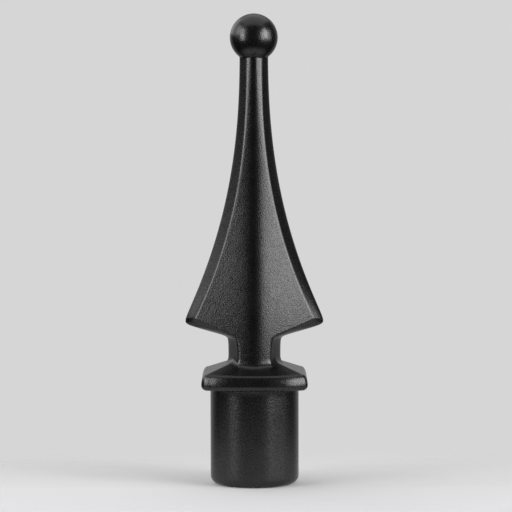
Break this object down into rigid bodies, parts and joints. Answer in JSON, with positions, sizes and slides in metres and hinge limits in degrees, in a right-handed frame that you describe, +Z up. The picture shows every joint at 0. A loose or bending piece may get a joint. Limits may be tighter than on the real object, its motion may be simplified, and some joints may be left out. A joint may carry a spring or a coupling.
{
  "type": "fence picket finial",
  "caption": "Cast spear finial with a ball tip, flared blade, square collar and a round drive-in plug for a square picket tube.",
  "frame": {"origin": "middle of the plug's flat lower end, at the bottom of the part", "axes": "+Z up from the plug to the ball, X along the width of the blade, Y through its thickness"},
  "size_m": [0.0344, 0.0262, 0.1169],
  "materials": {
    "black_powder_coat": "satin black powder coat with a fine, slightly pebbled skin over a cast surface"
  },
  "bodies": {
    "root": {"finial": "black_powder_coat"}
  },
  "joints": []
}
